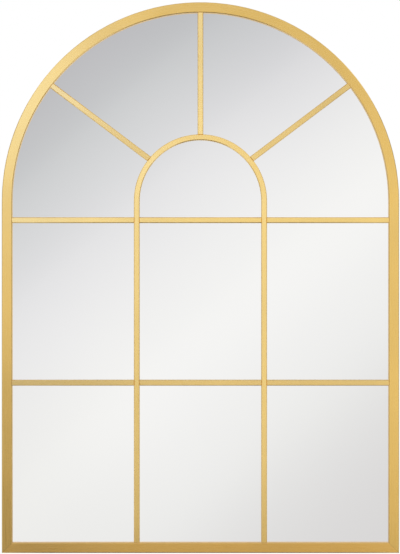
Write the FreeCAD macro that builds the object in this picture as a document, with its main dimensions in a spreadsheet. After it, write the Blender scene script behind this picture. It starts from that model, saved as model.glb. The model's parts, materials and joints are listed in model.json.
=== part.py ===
"""Arched window-pane wall mirror, in millimetres.

The frame is a gold aluminium channel: one hoop (two stiles and the arch) with a mitred bottom rail.
A single silvered sheet lies against the channel's front lip, and flat window bars are taped to it.
A fibreboard back carries two D-ring hangers inside the recess that the channel's depth leaves.

X runs to the right as seen from the front, Z runs up, and the front faces -Y.
The origin is on the wall plane, in the middle of the bottom edge.
"""
import FreeCAD, Part
import math
import os

import Sketcher
from FreeCAD import Placement, Rotation, Vector

SIZES = [
    # The whole mirror, and the channel that frames it
    ("overall_width", 660.0),
    ("overall_height", 915.0),
    ("face_width", 17.0),
    ("profile_wall", 1.6),
    ("flange_width", 10.0),
    ("face_edge_chamfer", 1.2),
    # Layers between the wall plane and the front face, from the back
    ("recess_depth", 7.5),
    ("board_thickness", 5.0),
    ("foam_thickness", 1.5),
    ("glass_thickness", 4.0),
    ("bar_tape_thickness", 0.5),
    ("bar_thickness", 6.0),
    ("bar_setback", 0.5),
    ("edge_clearance", 1.0),
    # Window bars
    ("bar_width", 9.5),
    ("bar_edge_chamfer", 1.2),
    ("bar_tape_width", 6.0),
    ("upper_bar_drop", 32.0),
    ("spoke_angle", 37.0),
    ("spoke_rise", 5.5),
    # Foam strips behind the glass
    ("foam_width", 25.0),
    ("foam_end_margin", 50.0),
    # Bowed springs between the board and the rear flange
    ("spring_length", 60.0),
    ("spring_width", 12.0),
    ("spring_thickness", 0.6),
    ("spring_seat_clearance", 0.1),
    # Corner keys and their countersunk screws
    ("key_leg_width", 7.5),
    ("key_thickness", 2.5),
    ("key_fit_clearance", 0.2),
    ("key_screw_setback", 26.0),
    ("key_screw_end_margin", 8.0),
    ("key_screw_diameter", 3.0),
    ("key_screw_head_diameter", 5.4),
    ("head_recess", 0.15),
    ("head_land", 0.25),
    ("hole_clearance", 0.3),
    ("thread_clearance", 0.1),
    # D-ring hangers
    ("hanger_spacing", 406.4),
    ("hanger_rise", 45.0),
    ("strap_width", 15.0),
    ("strap_thickness", 1.0),
    ("strap_seam", 0.1),
    ("strap_end_radius", 3.0),
    ("loop_clearance", 0.3),
    ("loop_closing_angle", 45.0),
    ("ring_wire_diameter", 3.0),
    ("ring_side_gap", 2.5),
    ("ring_side_length", 2.0),
    ("ring_rest_gap", 0.4),
    ("hanger_screw_diameter", 3.5),
    ("hanger_screw_length", 5.5),
    ("hanger_screw_head_diameter", 6.5),
    ("hanger_screw_head_height", 1.9),
    ("hanger_screw_first", 11.0),
    ("hanger_screw_pitch", 18.0),
    ("hanger_screw_end_margin", 7.0),
    # How far each flat of a screw turns from the one before
    ("screw_facet_angle", 30.0),
    # How far every cutting shape reaches past what it cuts
    ("cut_overrun", 1.0),
]

DERIVED = [
    ("arch_radius", "=sizes.overall_width / 2"),
    ("spring_line", "=sizes.overall_height - arch_radius"),
    ("daylight_radius", "=arch_radius - sizes.face_width"),
    # Distances in front of the wall plane
    ("board_front", "=sizes.recess_depth + sizes.board_thickness"),
    ("glass_back", "=board_front + sizes.foam_thickness"),
    ("glass_front", "=glass_back + sizes.glass_thickness"),
    ("bar_back", "=glass_front + sizes.bar_tape_thickness"),
    ("bar_front", "=bar_back + sizes.bar_thickness"),
    ("overall_depth", "=bar_front + sizes.bar_setback"),
    ("lip_depth", "=overall_depth - glass_front"),
    # The glass and the board share one outline inside the channel
    ("pack_radius", "=arch_radius - sizes.profile_wall - sizes.edge_clearance"),
    ("pack_bottom", "=sizes.profile_wall + sizes.edge_clearance"),
    # Three equal columns of panes, and two equal rows below the upper bars
    ("pane_width", "=(sizes.overall_width - 2 * sizes.face_width - 2 * sizes.bar_width) / 3"),
    ("upright_offset", "=(pane_width + sizes.bar_width) / 2"),
    ("upper_bar_height", "=spring_line - sizes.upper_bar_drop"),
    ("pane_height", "=(upper_bar_height - 1.5 * sizes.bar_width - sizes.face_width) / 2"),
    ("lower_bar_height", "=sizes.face_width + pane_height + sizes.bar_width / 2"),
    ("inner_arch_outside", "=upright_offset + sizes.bar_width / 2"),
    # Bowed springs: the inner arc of the bow spans the gap left between board and flange
    ("spring_gap", "=sizes.recess_depth - sizes.profile_wall"),
    ("spring_rise", "=spring_gap - 2 * sizes.spring_seat_clearance - sizes.spring_thickness"),
    ("spring_radius", "=(sizes.spring_length ^ 2 / 4 + spring_rise ^ 2) / (2 * spring_rise)"),
    ("spring_half_angle", "=asin(sizes.spring_length / (2 * spring_radius))"),
    ("spring_sagitta", "=sizes.spring_length ^ 2 / (8 * (arch_radius - sizes.profile_wall))"),
    ("spring_edge", "=sizes.profile_wall + spring_sagitta + sizes.edge_clearance"),
    # Corner keys and screws
    ("key_edge", "=sizes.profile_wall + sizes.key_fit_clearance"),
    ("key_screw_line", "=key_edge + sizes.key_leg_width / 2"),
    ("key_screw_run", "=key_edge + sizes.key_screw_setback"),
    ("key_tip", "=key_screw_run + sizes.key_screw_end_margin"),
    ("key_screw_length", "=sizes.profile_wall + sizes.key_thickness - sizes.head_recess"),
    ("head_height", "=sizes.profile_wall - sizes.head_recess - sizes.head_land"),
    ("head_slope", "=(sizes.key_screw_head_diameter - sizes.key_screw_diameter) / 2 / head_height"),
    ("countersink_diameter", "=sizes.key_screw_head_diameter + sizes.hole_clearance"
                             " + 2 * sizes.head_recess * head_slope"),
    # Hangers: the loop's outside touches the board, and the ring leans on it at rest
    ("loop_inside", "=sizes.ring_wire_diameter / 2 + sizes.loop_clearance"),
    ("loop_outside", "=loop_inside + sizes.strap_thickness"),
    ("strap_stack", "=2 * sizes.strap_thickness + sizes.strap_seam"),
    ("hanger_height", "=spring_line + sizes.hanger_rise"),
    ("hinge_depth", "=sizes.recess_depth - loop_outside"),
    ("ring_corner", "=sizes.ring_side_gap + sizes.ring_wire_diameter / 2"),
    ("ring_radius", "=sizes.strap_width / 2 + ring_corner"),
    ("ring_shoulder", "=ring_corner + sizes.ring_side_length"),
    ("ring_reach", "=ring_shoulder + ring_radius"),
    ("ring_lean", "=asin((loop_outside - sizes.ring_wire_diameter / 2 - sizes.ring_rest_gap) / ring_reach)"),
    ("hanger_screw_last", "=sizes.hanger_screw_first + sizes.hanger_screw_pitch"),
    ("strap_length", "=hanger_screw_last + sizes.hanger_screw_end_margin"),
]

# Where the springs sit along the straight runs, as shares of each run, and round the arch in degrees
STILE_SPRING_SHARES = (0.2, 0.5, 0.8)
RAIL_SPRING_SHARES = (-0.25, 0.25)
ARCH_SPRING_ANGLES = (30, 60, 90, 120, 150)
# Where the foam strips stand, as shares of the half width of the board
FOAM_STRIP_SHARES = (-0.69, -0.23, 0.23, 0.69)
SIDES = (("left", -1), ("right", 1))

doc = FreeCAD.newDocument("arched_wall_mirror")


def make_sheet(name, rows):
    """Fills one sheet with aliased cells, each set as text."""
    sheet = doc.addObject("Spreadsheet::Sheet", name)
    for row, (alias, content) in enumerate(rows, start=1):
        cell = f"B{row}"
        sheet.set(f"A{row}", alias)
        sheet.set(cell, str(content))
        sheet.setAlias(cell, alias)
    doc.recompute()
    return sheet


sizes = make_sheet("sizes", SIZES)
derived = make_sheet("derived", DERIVED)


def value(expression):
    """The present number behind an expression."""
    result = sizes.evalExpression(expression)
    return getattr(result, "Value", result)


def bind(thing, **expressions):
    """Binds properties to expressions."""
    for name, expression in expressions.items():
        thing.setExpression(name, expression)


def place(thing, x="0", y="0", z="0"):
    """Binds an object's position to expressions."""
    thing.setExpression("Placement.Base.x", x)
    thing.setExpression("Placement.Base.y", y)
    thing.setExpression("Placement.Base.z", z)


def turn(thing, axis, angle):
    """Turns an object about an axis through its own origin by an angle bound to an expression."""
    thing.Placement = Placement(thing.Placement.Base, Rotation(axis, 1))
    thing.setExpression("Placement.Rotation.Angle", angle)


def new_body(label):
    body = doc.addObject("PartDesign::Body", label)
    body.Label = label
    return body


def new_sketch(body, plane, name, offset="0"):
    """A sketch on one of the body's own origin planes, moved along the plane's normal by the offset."""
    support = next(item for item in body.Origin.OriginFeatures if item.Role == plane)
    sketch = body.newObject("Sketcher::SketchObject", f"{body.Name}_{name}")
    sketch.AttachmentSupport = [(support, "")]
    sketch.MapMode = "FlatFace"
    sketch.setExpression("AttachmentOffset.Base.z", offset)
    return sketch


def pin_point(sketch, geometry, position, x, y):
    """Dimensions one point from the sketch's origin."""
    for kind, expression in (("DistanceX", x), ("DistanceY", y)):
        constraint = Sketcher.Constraint(kind, -1, 1, geometry, position, value(expression))
        index = sketch.addConstraint(constraint)
        sketch.setExpression(f"Constraints[{index}]", expression)


def draw_outline(sketch, corners, arcs=None):
    """Draws a closed outline through corners given as pairs of expressions.

    arcs maps the index of a corner to the (centre x, centre y, radius) of the arc that runs from it to
    the next corner. Every other stretch is straight.
    """
    arcs = arcs or {}
    points = [Vector(value(x), value(y), 0) for x, y in corners]
    edges = []
    for index, start in enumerate(points):
        end = points[(index + 1) % len(points)]
        if index not in arcs:
            edges.append((sketch.addGeometry(Part.LineSegment(start, end)), 1, 2))
            continue
        centre_x, centre_y, radius = arcs[index]
        centre = Vector(value(centre_x), value(centre_y), 0)
        from_start = start - centre
        from_end = end - centre
        clockwise = from_start.cross(from_end).z < 0
        first, last = (from_end, from_start) if clockwise else (from_start, from_end)
        circle = Part.Circle(centre, Vector(0, 0, 1), value(radius))
        arc = Part.ArcOfCircle(circle, math.atan2(first.y, first.x), math.atan2(last.y, last.x))
        geometry = sketch.addGeometry(arc)
        edges.append((geometry, 2, 1) if clockwise else (geometry, 1, 2))
        constraint = sketch.addConstraint(Sketcher.Constraint("Radius", geometry, value(radius)))
        sketch.setExpression(f"Constraints[{constraint}]", radius)
    for index, (geometry, start, end) in enumerate(edges):
        following, following_start, _ = edges[(index + 1) % len(edges)]
        sketch.addConstraint(Sketcher.Constraint("Coincident", geometry, end, following, following_start))
        pin_point(sketch, geometry, start, *corners[index])


def draw_circle(sketch, x, y, radius):
    circle = Part.Circle(Vector(value(x), value(y), 0), Vector(0, 0, 1), value(radius))
    geometry = sketch.addGeometry(circle)
    constraint = sketch.addConstraint(Sketcher.Constraint("Radius", geometry, value(radius)))
    sketch.setExpression(f"Constraints[{constraint}]", radius)
    pin_point(sketch, geometry, 3, x, y)


def pad(body, sketch, length, name, reverse=False, midplane=False):
    feature = body.newObject("PartDesign::Pad", f"{body.Name}_{name}")
    feature.Profile = sketch
    feature.Reversed = reverse
    feature.Midplane = midplane
    bind(feature, Length=length)
    body.Tip = feature
    return feature


def pocket(body, sketch, depth, name, reverse=False, midplane=False):
    """A pocket, checked to have taken something away."""
    doc.recompute()
    before = body.Shape.Volume
    feature = body.newObject("PartDesign::Pocket", f"{body.Name}_{name}")
    feature.Profile = sketch
    feature.Reversed = reverse
    feature.Midplane = midplane
    bind(feature, Length=depth)
    body.Tip = feature
    doc.recompute()
    if not body.Shape.Volume < before:
        raise RuntimeError(f"{feature.Name} cuts nothing")
    return feature


def hoop_from_section(body, section, leg_length):
    """Extends a section drawn at the spring line down both legs and turns it over the arch."""
    leg = pad(body, section, leg_length, "leg", reverse=True)
    mirrored = body.newObject("PartDesign::Mirrored", f"{body.Name}_legs")
    mirrored.Originals = [leg]
    support = next(item for item in body.Origin.OriginFeatures if item.Role == "YZ_Plane")
    mirrored.MirrorPlane = (support, [""])
    body.Tip = mirrored
    doc.recompute()
    arch = body.newObject("PartDesign::Revolution", f"{body.Name}_arch")
    arch.Profile = section
    arch.ReferenceAxis = (section, ["V_Axis"])
    arch.Angle = 180
    body.Tip = arch
    doc.recompute()


def channel_section(sketch, spot):
    """The frame's C-shaped section; spot turns (inward, backward) distances into sketch coordinates."""
    face = "sizes.face_width"
    wall = "sizes.profile_wall"
    edge = "sizes.face_edge_chamfer"
    depth = "derived.overall_depth"
    lip = "derived.lip_depth"
    flange = "sizes.flange_width"
    corners = [
        spot("0", depth),
        spot("0", edge),
        spot(edge, "0"),
        spot(f"{face} - {edge}", "0"),
        spot(face, edge),
        spot(face, lip),
        spot(f"{face} - {wall}", lip),
        spot(f"{face} - {wall}", wall),
        spot(wall, wall),
        spot(wall, f"{depth} - {wall}"),
        spot(flange, f"{depth} - {wall}"),
        spot(flange, depth),
    ]
    draw_outline(sketch, corners)


def bar_section(sketch, middle, spot):
    """A flat window bar's section with its two front edges chamfered, about the given middle line."""
    half = "sizes.bar_width / 2"
    edge = "sizes.bar_edge_chamfer"
    front = "-derived.bar_front"
    back = "-derived.bar_back"
    corners = [
        spot(f"{middle} - {half}", back),
        spot(f"{middle} - {half}", f"{front} + {edge}"),
        spot(f"{middle} - {half} + {edge}", front),
        spot(f"{middle} + {half} - {edge}", front),
        spot(f"{middle} + {half}", f"{front} + {edge}"),
        spot(f"{middle} + {half}", back),
    ]
    draw_outline(sketch, corners)


def countersunk_holes(body, places):
    """Countersunk screw holes through the rear flange at places on the wall plane."""
    sketch = new_sketch(body, "XZ_Plane", "screw_places")
    for x, z in places:
        draw_circle(sketch, x, z, "sizes.key_screw_diameter / 2")
    doc.recompute()
    before = body.Shape.Volume
    hole = body.newObject("PartDesign::Hole", f"{body.Name}_screw_holes")
    hole.Profile = sketch
    doc.recompute()
    hole.Reversed = True
    hole.DepthType = "Dimension"
    hole.DrillPoint = "Flat"
    hole.HoleCutType = "Countersink"
    hole.HoleCutCustomValues = True
    bind(
        hole,
        Diameter="sizes.key_screw_diameter + sizes.hole_clearance",
        Depth="sizes.profile_wall + sizes.cut_overrun",
        HoleCutDiameter="derived.countersink_diameter",
        HoleCutCountersinkAngle="2 * atan(derived.head_slope)",
    )
    body.Tip = hole
    doc.recompute()
    if not body.Shape.Volume < before:
        raise RuntimeError(f"{hole.Name} cuts nothing")


def stile_screw_place(side):
    """The screw on the rear flange of one stile, next to its corner."""
    return (f"{side} * (derived.arch_radius - derived.key_screw_line)", "derived.key_screw_run")


def rail_screw_place(side):
    """The screw on the rear flange of the rail, next to the same corner."""
    return (f"{side} * (derived.arch_radius - derived.key_screw_run)", "derived.key_screw_line")


def mitre_cuts(body, below):
    """Cuts both lower corners at 45 degrees and keeps the part above or below the mitre."""
    sketch = new_sketch(body, "XZ_Plane", "mitres")
    past = "sizes.cut_overrun"
    inner = f"(sizes.face_width + {past})"
    for _, side in SIDES:
        corner = f"{side} * (derived.arch_radius + {past})"
        inside = f"{side} * (derived.arch_radius - {inner})"
        third = (corner, inner) if below else (inside, f"-{past}")
        draw_outline(sketch, [(corner, f"-{past}"), (inside, inner), third])
    pocket(body, sketch, f"2 * (derived.overall_depth + {past})", "mitre_cut", midplane=True)


def make_frame_hoop():
    body = new_body("frame_hoop")
    section = new_sketch(body, "XY_Plane", "section", "derived.spring_line")
    channel_section(section, lambda inward, back: (f"-derived.arch_radius + {inward}",
                                                   f"-derived.overall_depth + {back}"))
    hoop_from_section(body, section, "derived.spring_line")
    mitre_cuts(body, below=False)
    countersunk_holes(body, [stile_screw_place(side) for _, side in SIDES])
    return body


def make_bottom_rail():
    body = new_body("bottom_rail")
    section = new_sketch(body, "YZ_Plane", "section")
    channel_section(section, lambda inward, back: (f"-derived.overall_depth + {back}", inward))
    pad(body, section, "sizes.overall_width", "length", midplane=True)
    mitre_cuts(body, below=True)
    countersunk_holes(body, [rail_screw_place(side) for _, side in SIDES])
    return body


def make_corner_key(name, side):
    """An angle plate against the front of the rear flange, with plain holes for the screws."""
    body = new_body(f"corner_key_{name}")
    sketch = new_sketch(body, "XZ_Plane", "outline", "sizes.profile_wall")
    edge = "derived.key_edge"
    tip = "derived.key_tip"
    crotch = f"({edge} + sizes.key_leg_width)"
    across = [edge, tip, tip, crotch, crotch, edge]
    up = [edge, edge, crotch, crotch, tip, tip]
    draw_outline(sketch, [(f"{side} * (derived.arch_radius - {x})", z) for x, z in zip(across, up)])
    pad(body, sketch, "sizes.key_thickness", "plate")
    holes = new_sketch(body, "XZ_Plane", "tapped_places", "sizes.profile_wall")
    for x, z in (stile_screw_place(side), rail_screw_place(side)):
        draw_circle(holes, x, z, "sizes.key_screw_diameter / 2 + sizes.thread_clearance")
    pocket(body, holes, "2 * (sizes.key_thickness + sizes.cut_overrun)", "tapped_holes", midplane=True)
    return body


def make_inner_hoop():
    body = new_body("inner_hoop")
    section = new_sketch(body, "XY_Plane", "section", "derived.spring_line")
    bar_section(section, "-derived.upright_offset", lambda across, back: (across, back))
    hoop_from_section(body, section, "derived.spring_line - sizes.face_width")
    return body


CROSS_BAR_STARTS = (
    ("left", "-derived.daylight_radius"),
    ("middle", "-derived.pane_width / 2"),
    ("right", "derived.pane_width / 2 + sizes.bar_width"),
)
CROSS_BAR_ROWS = (("upper", "derived.upper_bar_height"), ("lower", "derived.lower_bar_height"))


def make_cross_bar(row, height, name, start):
    """One straight bar that fills a column of panes from side to side."""
    body = new_body(f"{row}_bar_{name}")
    section = new_sketch(body, "YZ_Plane", "section", start)
    bar_section(section, height, lambda across, back: (back, across))
    pad(body, section, "derived.pane_width", "length")
    return body


SPOKES = (("left", "sizes.spoke_angle - 90"), ("middle", "0"), ("right", "90 - sizes.spoke_angle"))


def make_fan_ring():
    """The ring between the inner arch and the frame's lip, which trims every spoke to length."""
    outer = doc.addObject("Part::Cylinder", "fan_outside")
    bind(outer, Radius="derived.daylight_radius", Height="derived.overall_depth")
    inner = doc.addObject("Part::Cylinder", "fan_inside")
    bind(inner, Radius="derived.inner_arch_outside", Height="derived.overall_depth")
    ring = doc.addObject("Part::Cut", "fan_ring")
    for cylinder in (outer, inner):
        turn(cylinder, Vector(1, 0, 0), "90")
        place(cylinder, z="derived.spring_line")
    ring.Base = outer
    ring.Tool = inner
    return ring


def aim_spoke(thing, angle):
    """Turns an upright bar about the point that all the spokes aim at."""
    turn(thing, Vector(0, 1, 0), angle)
    place(thing, z="derived.spring_line + sizes.spoke_rise")


def make_spoke(name, angle, ring):
    """A bar aimed at the arch's middle, with its two ends coped to the inner arch and to the frame."""
    stock = new_body(f"spoke_stock_{name}")
    section = new_sketch(stock, "XY_Plane", "section")
    bar_section(section, "0", lambda across, back: (across, back))
    pad(stock, section, "derived.arch_radius", "length")
    aim_spoke(stock, angle)
    spoke = doc.addObject("Part::Common", f"spoke_{name}")
    spoke.Base = stock
    spoke.Tool = ring
    return spoke


def make_tape_strip(name, width, height):
    """A strip of mounting tape as a flat box, standing on the glass with its corner at the origin."""
    strip = doc.addObject("Part::Box", name)
    bind(strip, Length=width, Width="sizes.bar_tape_thickness", Height=height)
    return strip


def make_bar_tape(ring):
    """Mounting tape behind every window bar, narrower than the bar."""
    strips = []
    behind = "-derived.bar_back"
    half = "sizes.bar_tape_width / 2"
    for row, height in CROSS_BAR_ROWS:
        for name, start in CROSS_BAR_STARTS:
            strip = make_tape_strip(f"tape_{row}_{name}", "derived.pane_width", "sizes.bar_tape_width")
            place(strip, start, behind, f"{height} - {half}")
            strips.append(strip)
    for name, angle in SPOKES:
        stock = make_tape_strip(f"tape_stock_{name}", "sizes.bar_tape_width", "derived.arch_radius")
        turn(stock, Vector(0, 1, 0), angle)
        lift = "derived.spring_line + sizes.spoke_rise"
        place(stock, f"-{half} * cos({angle})", behind, f"{lift} + {half} * sin({angle})")
        strip = doc.addObject("Part::Common", f"tape_spoke_{name}")
        strip.Base = stock
        strip.Tool = ring
        strips.append(strip)
    pieces = []
    for name, side in SIDES:
        leg = make_tape_strip(f"tape_upright_{name}", "sizes.bar_tape_width",
                              "derived.spring_line - sizes.face_width")
        place(leg, f"{side} * derived.upright_offset - {half}", behind, "sizes.face_width")
        pieces.append(leg)
    outer = doc.addObject("Part::Cylinder", "tape_arch_outside")
    bind(outer, Radius=f"derived.upright_offset + {half}", Height="sizes.bar_tape_thickness", Angle="180")
    inner = doc.addObject("Part::Cylinder", "tape_arch_inside")
    bind(inner, Radius=f"derived.upright_offset - {half}", Height="sizes.bar_tape_thickness")
    for cylinder in (outer, inner):
        turn(cylinder, Vector(1, 0, 0), "90")
        place(cylinder, y="-derived.glass_front", z="derived.spring_line")
    arch = doc.addObject("Part::Cut", "tape_arch")
    arch.Base = outer
    arch.Tool = inner
    hoop = doc.addObject("Part::MultiFuse", "tape_hoop")
    hoop.Shapes = pieces + [arch]
    return make_group("bar_tape", strips + [hoop])


def make_group(label, members):
    """One node that holds several separate solids."""
    group = doc.addObject("Part::Compound", label)
    group.Links = members
    return group


def make_copy(source, name):
    """A second place for a piece that is made once."""
    copy = doc.addObject("App::Link", name)
    copy.LinkedObject = source
    return copy


def make_pack_sheet(label, back, thickness):
    """A sheet with the arched outline that fits inside the channel."""
    body = new_body(label)
    sketch = new_sketch(body, "XZ_Plane", "outline", back)
    radius = "derived.pack_radius"
    spring = "derived.spring_line"
    corners = [
        (f"-{radius}", "derived.pack_bottom"),
        (radius, "derived.pack_bottom"),
        (radius, spring),
        ("0", f"{spring} + {radius}"),
        (f"-{radius}", spring),
    ]
    draw_outline(sketch, corners, {2: ("0", spring, radius), 3: ("0", spring, radius)})
    pad(body, sketch, thickness, "sheet")
    return body


HANGER_SCREW_DROPS = ("sizes.hanger_screw_first", "derived.hanger_screw_last")


def hanger_screw_places():
    """Screw places of both hangers on the board's back."""
    return [
        (f"{side} * sizes.hanger_spacing / 2", f"derived.hanger_height - {drop}")
        for _, side in SIDES
        for drop in HANGER_SCREW_DROPS
    ]


def make_backing_board():
    """The fibreboard back, with pilot holes for the hanger screws."""
    body = make_pack_sheet("backing_board", "sizes.recess_depth", "sizes.board_thickness")
    sketch = new_sketch(body, "XZ_Plane", "pilot_places", "sizes.recess_depth")
    for x, z in hanger_screw_places():
        draw_circle(sketch, x, z, "sizes.hanger_screw_diameter / 2 + sizes.thread_clearance")
    depth = "sizes.hanger_screw_length - derived.strap_stack + sizes.hole_clearance"
    pocket(body, sketch, depth, "pilot_holes", reverse=True)
    return body


def make_foam_tape():
    """Upright foam strips between the board and the glass."""
    strips = []
    height = "derived.spring_line - 2 * sizes.foam_end_margin"
    for index, share in enumerate(FOAM_STRIP_SHARES):
        strip = doc.addObject("Part::Box", f"foam_strip_{index}")
        bind(strip, Length="sizes.foam_width", Width="sizes.foam_thickness", Height=height)
        x = f"{share} * derived.pack_radius - sizes.foam_width / 2"
        place(strip, x, "-derived.glass_back", "sizes.foam_end_margin")
        strips.append(strip)
    return make_group("foam_tape", strips)


def make_spring():
    """A bowed strip on its own: its length along X, its width up Z, its belly towards -Y."""
    outer = doc.addObject("Part::Cylinder", "spring_outside")
    bind(
        outer,
        Radius="derived.spring_radius + sizes.spring_thickness",
        Height="sizes.spring_width",
        Angle="2 * derived.spring_half_angle",
    )
    turn(outer, Vector(0, 0, 1), "-90 deg - derived.spring_half_angle")
    inner = doc.addObject("Part::Cylinder", "spring_inside")
    bind(inner, Radius="derived.spring_radius", Height="sizes.spring_width")
    spring = doc.addObject("Part::Cut", "spring_blank")
    spring.Base = outer
    spring.Tool = inner
    return spring


def make_pressure_springs():
    """Springs along the rail, up both stiles and round the arch, tucked under the rear flange."""
    blank = make_spring()
    outward = "derived.spring_radius + sizes.spring_thickness + sizes.spring_seat_clearance"
    y = f"-sizes.recess_depth + {outward}"
    springs = []

    def add(angle, x, z):
        """Sets a spring with its outer edge at (x, z) and its width pointing inward at the angle."""
        spring = make_copy(blank, f"spring_{len(springs)}")
        turn(spring, Vector(0, 1, 0), angle)
        place(spring, x, y, z)
        springs.append(spring)

    for share in RAIL_SPRING_SHARES:
        add("0", f"{share} * sizes.overall_width", "derived.spring_edge")
    for _, side in SIDES:
        for share in STILE_SPRING_SHARES:
            x = f"{side} * (derived.arch_radius - derived.spring_edge)"
            add(f"{side} * -90", x, f"{share} * derived.spring_line")
    for angle in ARCH_SPRING_ANGLES:
        radius = "(derived.arch_radius - derived.spring_edge)"
        x = f"{radius} * cos({angle})"
        z = f"derived.spring_line + {radius} * sin({angle})"
        add(f"270 - {angle}", x, z)
    return make_group("pressure_springs", springs)


def make_rod(name, diameter, height):
    """A many-sided rod along +Z that just fits inside the diameter."""
    rod = doc.addObject("Part::Prism", name)
    bind(rod, Polygon="360 / sizes.screw_facet_angle", Circumradius=f"{diameter} / 2", Height=height)
    return rod


def make_screw(name, head, shank_diameter, length):
    """A screw along +Z from the top of its head."""
    shank = make_rod(f"{name}_shank", f"({shank_diameter} - sizes.thread_clearance)", length)
    screw = doc.addObject("Part::Fuse", f"{name}_blank")
    screw.Base = head
    screw.Tool = shank
    return screw


def make_screw_group(label, blank, places, y):
    """Copies of one screw, turned to point into the wall side of the mirror."""
    screws = []
    for index, (x, z) in enumerate(places):
        screw = make_copy(blank, f"{label}_{index}")
        turn(screw, Vector(1, 0, 0), "90")
        place(screw, x, y, z)
        screws.append(screw)
    return make_group(label, screws)


def make_corner_key_screws():
    """Countersunk screws that sit just below the flange's rear face."""
    head = doc.addObject("Part::Cone", "key_screw_head")
    bind(
        head,
        Radius1="sizes.key_screw_head_diameter / 2",
        Radius2="sizes.key_screw_diameter / 2",
        Height="derived.head_height",
    )
    blank = make_screw("key_screw", head, "sizes.key_screw_diameter", "derived.key_screw_length")
    places = [spot(side) for _, side in SIDES for spot in (stile_screw_place, rail_screw_place)]
    return make_screw_group("corner_key_screws", blank, places, "-sizes.head_recess")


def make_hanger_screws():
    """Pan-head screws through the straps into the board."""
    head = make_rod("hanger_screw_pan", "sizes.hanger_screw_head_diameter", "sizes.hanger_screw_head_height")
    length = "sizes.hanger_screw_head_height + sizes.hanger_screw_length"
    blank = make_screw("hanger_screw", head, "sizes.hanger_screw_diameter", length)
    y = "-sizes.recess_depth + derived.strap_stack + sizes.hanger_screw_head_height"
    return make_screw_group("hanger_screws", blank, hanger_screw_places(), y)


def make_hanger_strap(name, side):
    """A strip folded round the ring's bar: one leg on the board, the other closed down onto it."""
    body = new_body(f"hanger_strap_{name}")
    sketch = new_sketch(body, "YZ_Plane", "fold")
    inside = "derived.loop_inside"
    outside = "derived.loop_outside"
    sheet = "sizes.strap_thickness"
    close = "sizes.loop_closing_angle"
    low = "-derived.strap_length"
    second_in = f"({sheet} + sizes.strap_seam)"
    second_out = "derived.strap_stack"

    def closing_point(radius):
        """Where the fold leaves the loop to close onto the first leg."""
        return (f"{outside} + {radius} * cos({close})", f"-{radius} * sin({close})")

    def meeting_point(radius, depth):
        """Where the closing slope reaches the second leg's line."""
        fall = f"({outside} + {radius} * cos({close}) - {depth}) / tan({close})"
        return (depth, f"-{radius} * sin({close}) - {fall}")

    corners = [
        ("0", low),
        ("0", "0"),
        (outside, outside),
        closing_point(outside),
        meeting_point(outside, second_out),
        (second_out, low),
        (second_in, low),
        meeting_point(inside, second_in),
        closing_point(inside),
        (outside, inside),
        (sheet, "0"),
        (sheet, low),
    ]
    arcs = {
        1: (outside, "0", outside),
        2: (outside, "0", outside),
        8: (outside, "0", inside),
        9: (outside, "0", inside),
    }
    draw_outline(sketch, corners, arcs)
    pad(body, sketch, "sizes.strap_width", "strip", midplane=True)
    round_strap_end(body)
    holes = new_sketch(body, "XZ_Plane", "screw_places")
    for drop in HANGER_SCREW_DROPS:
        draw_circle(holes, "0", f"-{drop}", "(sizes.hanger_screw_diameter + sizes.hole_clearance) / 2")
    pocket(body, holes, "2 * (derived.strap_stack + sizes.cut_overrun)", "screw_holes", midplane=True)
    place(body, f"{side} * sizes.hanger_spacing / 2", "-sizes.recess_depth", "derived.hanger_height")
    return body


def round_strap_end(body):
    """Rounds the two lower corners of the strap."""
    sketch = new_sketch(body, "XZ_Plane", "end_corners")
    past = "sizes.cut_overrun"
    low = "-derived.strap_length"
    radius = "sizes.strap_end_radius"
    for _, side in SIDES:
        edge = f"{side} * sizes.strap_width / 2"
        start = f"{side} * (sizes.strap_width / 2 - {radius})"
        outside = f"{side} * (sizes.strap_width / 2 + {past})"
        corners = [
            (start, low),
            (start, f"{low} - {past}"),
            (outside, f"{low} - {past}"),
            (outside, f"{low} + {radius}"),
            (edge, f"{low} + {radius}"),
        ]
        draw_outline(sketch, corners, {4: (start, f"{low} + {radius}", radius)})
    pocket(body, sketch, f"2 * (derived.strap_stack + {past})", "end_cut", midplane=True)


# How many flats stand for the round of the ring's wire
WIRE_FLATS = 8


def make_hanger_ring(name, side):
    """A D-ring of bent wire, leaning on the board, with its straight bar in the strap's loop."""
    body = new_body(f"hanger_ring_{name}")
    path = new_sketch(body, "XZ_Plane", "path")
    half = "derived.ring_radius"
    corner = "derived.ring_corner"
    shoulder = "derived.ring_shoulder"
    corners = [
        (f"-{half} + {corner}", "0"),
        (f"{half} - {corner}", "0"),
        (half, corner),
        (half, shoulder),
        ("0", "derived.ring_reach"),
        (f"-{half}", shoulder),
        (f"-{half}", corner),
    ]
    arcs = {
        1: (f"{half} - {corner}", corner, corner),
        3: ("0", shoulder, half),
        4: ("0", shoulder, half),
        6: (f"-{half} + {corner}", corner, corner),
    }
    draw_outline(path, corners, arcs)
    wire = new_sketch(body, "YZ_Plane", "wire")
    radius = "sizes.ring_wire_diameter / 2"
    angles = [360 * (index + 0.5) / WIRE_FLATS for index in range(WIRE_FLATS)]
    draw_outline(wire, [(f"{radius} * cos({angle})", f"{radius} * sin({angle})") for angle in angles])
    pipe = body.newObject("PartDesign::AdditivePipe", f"{body.Name}_bend")
    pipe.Profile = wire
    pipe.Spine = path
    body.Tip = pipe
    turn(body, Vector(1, 0, 0), "derived.ring_lean")
    place(body, f"{side} * sizes.hanger_spacing / 2", "-derived.hinge_depth", "derived.hanger_height")
    return body


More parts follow.
